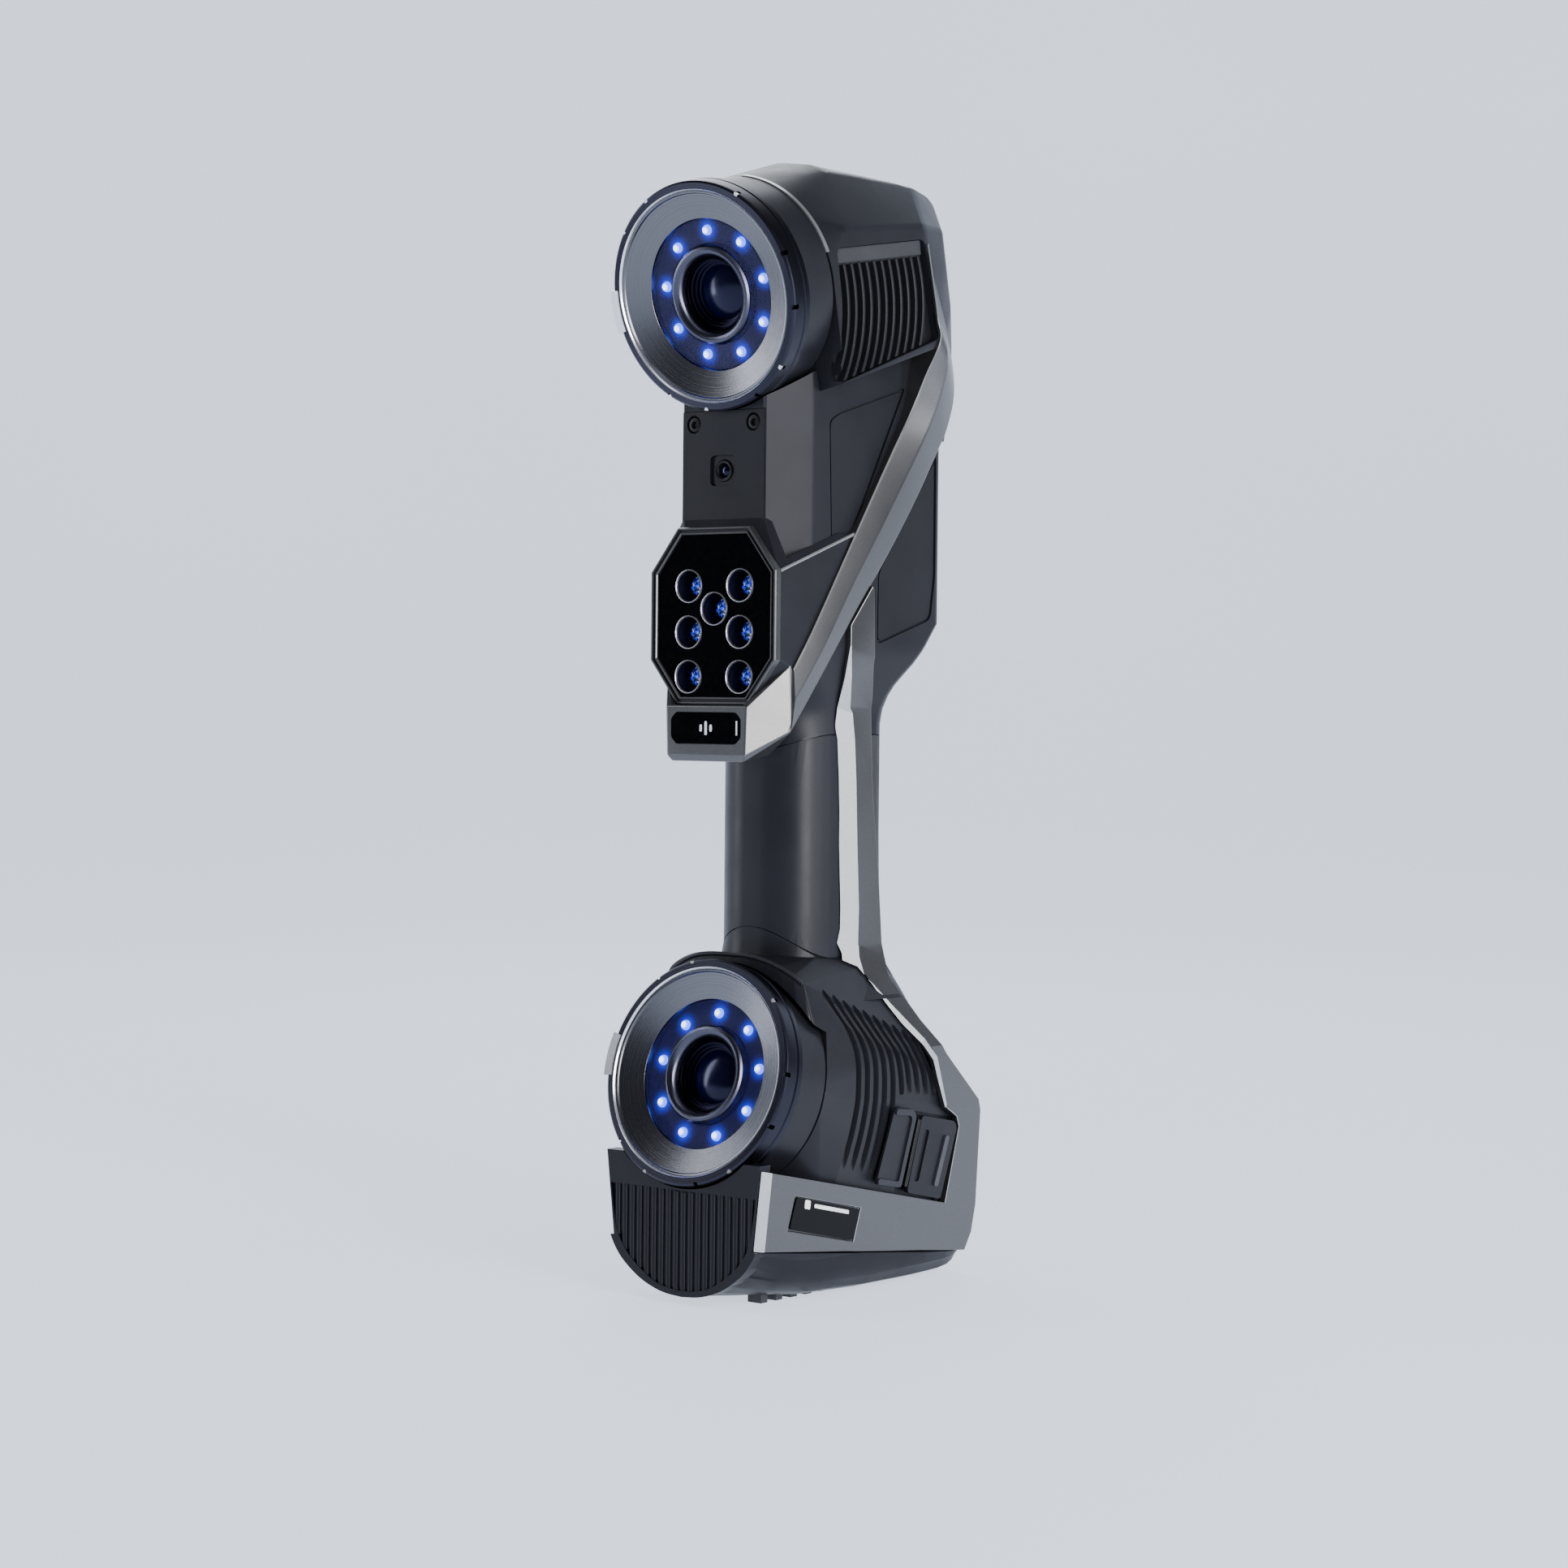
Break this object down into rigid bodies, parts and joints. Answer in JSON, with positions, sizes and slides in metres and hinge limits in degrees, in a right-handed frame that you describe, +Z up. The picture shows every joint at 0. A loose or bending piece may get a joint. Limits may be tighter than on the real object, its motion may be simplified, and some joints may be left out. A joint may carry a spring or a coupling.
{
  "type": "handheld laser scanner",
  "caption": "Handheld two-camera laser scanner: lit ring cameras above and below a vertical grip, laser projector between, rear control keys and a hinged side port door.",
  "frame": {"origin": "centre of the whole scanner's bounding box", "axes": "+Z up along the scanner, from the lower camera to the upper one; -Y the way both cameras look; +X towards the side with the port door"},
  "size_m": [0.0864, 0.1418, 0.433],
  "materials": {
    "charcoal": "satin charcoal grey, moulded and painted",
    "dark": "satin near-black",
    "silver": "satin silver-grey metallic paint",
    "machined": "fine concentric machined lines, clear anodised",
    "black_gloss": "high gloss",
    "rubber": "fine matt grain",
    "indigo_window": "translucent blue-tinted filter",
    "lamp": "blue lamps on a dark board",
    "lens": "coated optical glass",
    "board": "green circuit board",
    "steel": "brushed"
  },
  "bodies": {
    "scanner": {"upper_bezel_ring": "machined", "upper_lens_trim_ring": "machined", "upper_camera_barrel": "dark", "upper_led_window": "indigo_window", "upper_led_board": "lamp", "upper_lens_glass": "lens", "upper_camera_module": "black_gloss", "lower_bezel_ring": "machined", "lower_lens_trim_ring": "machined", "lower_camera_barrel": "dark", "lower_led_window": "indigo_window", "lower_led_board": "lamp", "lower_lens_glass": "lens", "lower_camera_module": "black_gloss", "upper_shell": "charcoal", "middle_housing": "charcoal", "projector_housing": "charcoal", "grip_front": "charcoal", "lower_body": "charcoal", "front_plate": "dark", "bottom_cover": "dark", "control_panel": "dark", "alignment_camera": "dark", "projector_frame": "silver", "chin_cover": "silver", "projector_window": "black_gloss", "chin_badge": "black_gloss", "laser_block": "steel", "hinge_pin": "steel", "chassis_spine": "steel", "laser_module_1": "steel", "laser_module_2": "steel", "laser_module_3": "steel", "laser_module_4": "steel", "laser_module_5": "steel", "laser_module_6": "steel", "laser_module_7": "steel", "grip_rear": "rubber", "port_socket": "dark", "keypad_board": "board", "main_board": "board", "plate_screw_right": "steel", "upper_fins_right": "dark", "lower_fins_right": "dark", "band_right": "silver", "side_frame_right": "silver", "side_badge_right": "black_gloss", "plate_screw_left": "steel", "upper_fins_left": "dark", "lower_fins_left": "dark", "band_left": "silver", "side_frame_left": "silver", "side_badge_left": "black_gloss"},
    "key_scan": {"key_scan": "rubber"},
    "key_up": {"key_up": "rubber"},
    "key_down": {"key_down": "rubber"},
    "key_left": {"key_left": "rubber"},
    "key_right": {"key_right": "rubber"},
    "port_door": {"port_door": "charcoal"},
    "port_latch": {"port_latch": "charcoal"}
  },
  "joints": [
    {"name": "key_scan_press", "type": "slide", "parent": "scanner", "child": "key_scan", "axis": [0, -1, 0], "range_m": [0, 0.001], "stiffness_N_per_m": 400},
    {"name": "key_up_press", "type": "slide", "parent": "scanner", "child": "key_up", "axis": [0, -1, 0], "range_m": [0, 0.001], "stiffness_N_per_m": 400},
    {"name": "key_down_press", "type": "slide", "parent": "scanner", "child": "key_down", "axis": [0, -1, 0], "range_m": [0, 0.001], "stiffness_N_per_m": 400},
    {"name": "key_left_press", "type": "slide", "parent": "scanner", "child": "key_left", "axis": [0, -1, 0], "range_m": [0, 0.001], "stiffness_N_per_m": 400},
    {"name": "key_right_press", "type": "slide", "parent": "scanner", "child": "key_right", "axis": [0, -1, 0], "range_m": [0, 0.001], "stiffness_N_per_m": 400},
    {"name": "port_door_hinge", "type": "hinge", "parent": "scanner", "child": "port_door", "pos_m": [0.04009, 0.02715, -0.15138], "axis": [-0.1115, -0.175, -0.9782], "range_deg": [0, 90]},
    {"name": "port_latch_slide", "type": "slide", "parent": "scanner", "child": "port_latch", "axis": [0.0198, -0.9846, 0.1739], "range_m": [0, 0.004]}
  ]
}
